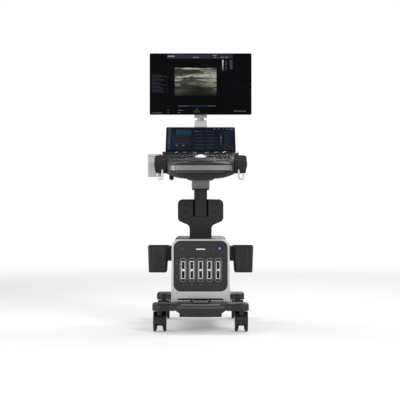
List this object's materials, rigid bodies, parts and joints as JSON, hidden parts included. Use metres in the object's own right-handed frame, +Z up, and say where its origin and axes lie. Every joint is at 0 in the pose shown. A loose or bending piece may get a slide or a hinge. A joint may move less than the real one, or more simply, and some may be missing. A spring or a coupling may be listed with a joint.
{
  "type": "ultrasound machine",
  "caption": "Cart-based ultrasound scanner with swivelling casters, console with probe ports, lifting control panel, tilting touch screen and monitor on a levelling arm.",
  "frame": {"origin": "on the floor, at the middle of the bounding box in plan", "axes": "+Z up; the user stands on the -Y side; +X is the user's right"},
  "size_m": [0.566, 0.82, 1.487],
  "materials": {
    "cover_black": "matte",
    "frame_steel": "satin",
    "hood_black": "matte",
    "tyre_grey": "matte",
    "pedal_grey": "satin",
    "frame_silver": "satin",
    "side_silver": "satin",
    "panel_dark": "satin",
    "bezel_grey": "satin",
    "socket_silver": "satin",
    "led_white": "gloss",
    "button_navy": "gloss",
    "rear_black": "matte",
    "electronics": "matte",
    "pocket_black": "matte",
    "bracket_grey": "satin",
    "column_black": "satin",
    "sleeve_grey": "satin",
    "rim_dark": "matte",
    "housing_dark": "satin",
    "deck_black": "satin",
    "palm_grey": "matte",
    "handle_grey": "satin",
    "holder_black": "matte",
    "trim_grey": "satin",
    "hook_silver": "satin",
    "warmer_grey": "matte",
    "ring_silver": "satin",
    "ball_white": "gloss",
    "knob_silver": "satin",
    "key_grey": "satin",
    "screen_frame": "satin",
    "touch_display": "gloss",
    "arm_silver": "satin",
    "monitor_display": "gloss"
  },
  "bodies": {
    "cart": {"base_frame": "frame_steel", "base_cover": "cover_black", "foot_rest": "cover_black", "console_shell": "cover_black", "console_frame": "frame_silver", "side_panels": "side_silver", "port_panel": "panel_dark", "port_bezels": "bezel_grey", "port_sockets": "socket_silver", "status_leds": "led_white", "rear_panel": "rear_black", "electronics_rack": "electronics", "mains_inlet": "cover_black", "pocket_left": "pocket_black", "pocket_right": "pocket_black", "pocket_brackets": "bracket_grey", "column_cover": "cover_black", "column_rear_cover": "cover_black", "column_guide": "frame_steel"},
    "caster_swivel_front_left": {"caster_housing_front_left": "hood_black"},
    "caster_rollers_front_left": {"caster_wheels_front_left": "tyre_grey"},
    "caster_swivel_front_right": {"caster_housing_front_right": "hood_black"},
    "caster_rollers_front_right": {"caster_wheels_front_right": "tyre_grey"},
    "caster_swivel_rear_left": {"caster_housing_rear_left": "hood_black"},
    "caster_rollers_rear_left": {"caster_wheels_rear_left": "tyre_grey"},
    "caster_swivel_rear_right": {"caster_housing_rear_right": "hood_black"},
    "caster_rollers_rear_right": {"caster_wheels_rear_right": "tyre_grey"},
    "brake_pedal": {"brake_pedal": "pedal_grey"},
    "power_button": {"power_button": "button_navy"},
    "lift_mast": {"column_mast": "column_black"},
    "lift_sleeve": {"column_sleeve": "sleeve_grey", "sleeve_rim": "rim_dark"},
    "control_panel": {"panel_housing": "housing_dark", "panel_deck": "deck_black", "palm_rest": "palm_grey", "front_handle": "handle_grey", "probe_holder_left": "holder_black", "probe_holder_right": "holder_black", "holder_trim": "trim_grey", "cable_hooks": "hook_silver", "gel_warmer": "warmer_grey", "trackball_ring": "ring_silver", "key_bank": "key_grey"},
    "trackball": {"trackball": "ball_white"},
    "knob_1": {"knob_1": "knob_silver"},
    "knob_2": {"knob_2": "knob_silver"},
    "knob_3": {"knob_3": "knob_silver"},
    "knob_4": {"knob_4": "knob_silver"},
    "knob_5": {"knob_5": "knob_silver"},
    "knob_6": {"knob_6": "knob_silver"},
    "set_key_left": {"set_key_left": "key_grey"},
    "set_key_right": {"set_key_right": "key_grey"},
    "touch_screen": {"touch_housing": "screen_frame", "touch_glass": "touch_display"},
    "arm_lower": {"arm_lower": "arm_silver"},
    "arm_upper": {"arm_upper": "arm_silver"},
    "arm_head": {"arm_head": "arm_silver"},
    "monitor_mount": {"monitor_bracket": "arm_silver"},
    "monitor": {"monitor_shell": "screen_frame", "monitor_screen": "monitor_display"}
  },
  "joints": [
    {"name": "swivel_front_left", "type": "hinge", "parent": "cart", "child": "caster_swivel_front_left", "pos_m": [-0.212, -0.29, 0.113], "axis": [0, 0, 1], "continuous": true},
    {"name": "roll_front_left", "type": "hinge", "parent": "caster_swivel_front_left", "child": "caster_rollers_front_left", "pos_m": [-0.212, -0.265, 0.05], "axis": [1, 0, 0], "continuous": true},
    {"name": "swivel_front_right", "type": "hinge", "parent": "cart", "child": "caster_swivel_front_right", "pos_m": [0.212, -0.29, 0.113], "axis": [0, 0, 1], "continuous": true},
    {"name": "roll_front_right", "type": "hinge", "parent": "caster_swivel_front_right", "child": "caster_rollers_front_right", "pos_m": [0.212, -0.265, 0.05], "axis": [1, 0, 0], "continuous": true},
    {"name": "swivel_rear_left", "type": "hinge", "parent": "cart", "child": "caster_swivel_rear_left", "pos_m": [-0.212, 0.328, 0.113], "axis": [0, 0, 1], "continuous": true},
    {"name": "roll_rear_left", "type": "hinge", "parent": "caster_swivel_rear_left", "child": "caster_rollers_rear_left", "pos_m": [-0.212, 0.353, 0.05], "axis": [1, 0, 0], "continuous": true},
    {"name": "swivel_rear_right", "type": "hinge", "parent": "cart", "child": "caster_swivel_rear_right", "pos_m": [0.212, 0.328, 0.113], "axis": [0, 0, 1], "continuous": true},
    {"name": "roll_rear_right", "type": "hinge", "parent": "caster_swivel_rear_right", "child": "caster_rollers_rear_right", "pos_m": [0.212, 0.353, 0.05], "axis": [1, 0, 0], "continuous": true},
    {"name": "brake_press", "type": "hinge", "parent": "cart", "child": "brake_pedal", "pos_m": [0, -0.289, 0.16], "axis": [1, 0, 0], "range_deg": [0, 5.5], "stiffness_Nm_per_rad": 4, "springref_deg": -5.73},
    {"name": "power_press", "type": "slide", "parent": "cart", "child": "power_button", "axis": [0, 1, 0], "range_m": [0, 0.0012], "stiffness_N_per_m": 500, "springref_m": -0.0006},
    {"name": "lift", "type": "slide", "parent": "cart", "child": "lift_mast", "axis": [0, 0, 1], "range_m": [-0.022, 0.09]},
    {"name": "lift_stage_2", "type": "slide", "parent": "lift_mast", "child": "lift_sleeve", "axis": [0, 0, 1], "range_m": [-0.022, 0.09]},
    {"name": "panel_swivel", "type": "hinge", "parent": "lift_sleeve", "child": "control_panel", "pos_m": [0, 0.045, 0.7885], "axis": [0, 0, 1], "range_deg": [-30, 30]},
    {"name": "ball_roll", "type": "hinge", "parent": "control_panel", "child": "trackball", "pos_m": [0, -0.2471, 0.90094], "axis": [1, 0, 0], "continuous": true},
    {"name": "knob_turn_1", "type": "hinge", "parent": "control_panel", "child": "knob_1", "pos_m": [-0.126, -0.2, 0.92505], "axis": [0, -0.2419, 0.9703], "continuous": true},
    {"name": "knob_turn_2", "type": "hinge", "parent": "control_panel", "child": "knob_2", "pos_m": [-0.084, -0.2, 0.92505], "axis": [0, -0.2419, 0.9703], "continuous": true},
    {"name": "knob_turn_3", "type": "hinge", "parent": "control_panel", "child": "knob_3", "pos_m": [-0.0315, -0.2, 0.92505], "axis": [0, -0.2419, 0.9703], "continuous": true},
    {"name": "knob_turn_4", "type": "hinge", "parent": "control_panel", "child": "knob_4", "pos_m": [0.0315, -0.2, 0.92505], "axis": [0, -0.2419, 0.9703], "continuous": true},
    {"name": "knob_turn_5", "type": "hinge", "parent": "control_panel", "child": "knob_5", "pos_m": [0.084, -0.2, 0.92505], "axis": [0, -0.2419, 0.9703], "continuous": true},
    {"name": "knob_turn_6", "type": "hinge", "parent": "control_panel", "child": "knob_6", "pos_m": [0.126, -0.2, 0.92505], "axis": [0, -0.2419, 0.9703], "continuous": true},
    {"name": "set_press_left", "type": "slide", "parent": "control_panel", "child": "set_key_left", "axis": [0, 0.2419, -0.9703], "range_m": [0, 0.0015], "stiffness_N_per_m": 600, "springref_m": -0.0008},
    {"name": "set_press_right", "type": "slide", "parent": "control_panel", "child": "set_key_right", "axis": [0, 0.2419, -0.9703], "range_m": [0, 0.0015], "stiffness_N_per_m": 600, "springref_m": -0.0008},
    {"name": "touch_tilt", "type": "hinge", "parent": "control_panel", "child": "touch_screen", "pos_m": [0, -0.1034, 0.9445], "axis": [1, 0, 0], "range_deg": [-3, 25]},
    {"name": "arm_swivel", "type": "hinge", "parent": "control_panel", "child": "arm_lower", "pos_m": [0, 0.085, 0.93], "axis": [0, 0, 1], "range_deg": [-30, 30]},
    {"name": "arm_lift", "type": "hinge", "parent": "arm_lower", "child": "arm_upper", "pos_m": [0, 0.26, 1], "axis": [-1, 0, 0], "range_deg": [-12, 25]},
    {"name": "head_level", "type": "hinge", "parent": "arm_upper", "child": "arm_head", "pos_m": [0, 0.141, 1.092], "axis": [-1, 0, 0], "range_deg": [-25, 12]},
    {"name": "monitor_swivel", "type": "hinge", "parent": "arm_head", "child": "monitor_mount", "pos_m": [0, 0.125, 1.125], "axis": [0, 0, 1], "range_deg": [-30, 30]},
    {"name": "monitor_tilt", "type": "hinge", "parent": "monitor_mount", "child": "monitor", "pos_m": [0, 0.09, 1.25], "axis": [1, 0, 0], "range_deg": [-15, 8]}
  ],
  "couplings": [
    {"joint": "lift_stage_2", "follows": "lift", "ratio": 1},
    {"joint": "head_level", "follows": "arm_lift", "ratio": -1}
  ]
}
